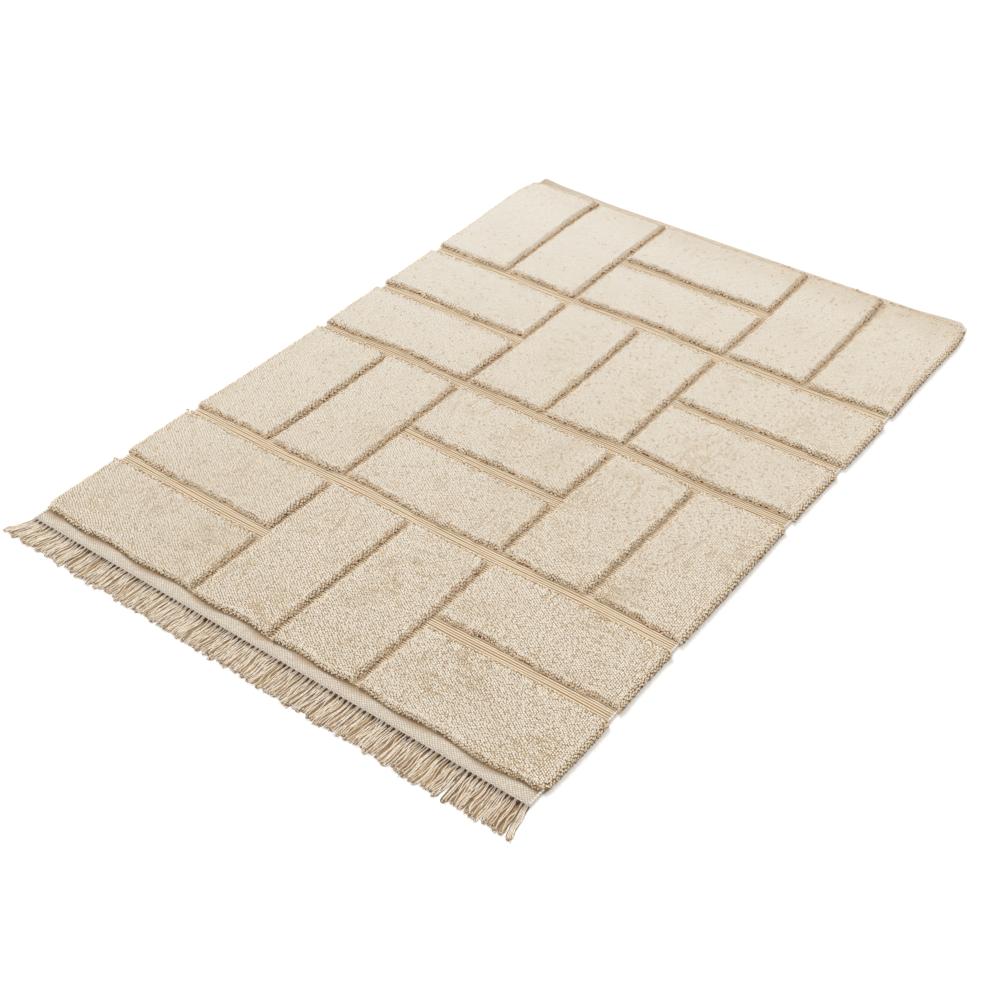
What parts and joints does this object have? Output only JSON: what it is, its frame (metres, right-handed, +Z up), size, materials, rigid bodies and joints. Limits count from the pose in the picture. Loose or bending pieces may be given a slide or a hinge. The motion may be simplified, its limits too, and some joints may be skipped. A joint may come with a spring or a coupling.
{
  "type": "beni ourain rug",
  "caption": "Flat wool rug with thick cream pile carved into blocks, flat-woven bands at both ends and a warp fringe at one end.",
  "frame": {"origin": "centre of the rug's box in plan, on the floor under it", "axes": "+X across the rug along the weft, +Y along the warp and away from the fringe, +Z up from the floor"},
  "size_m": [1.6718, 2.4242, 0.0262],
  "materials": {
    "cream_wool_pile": "matte curled wool pile",
    "tan_warp_yarn": "matte plied yarn"
  },
  "bodies": {
    "root": {"pile_rug": "cream_wool_pile", "warp_fringe": "tan_warp_yarn"}
  },
  "joints": []
}
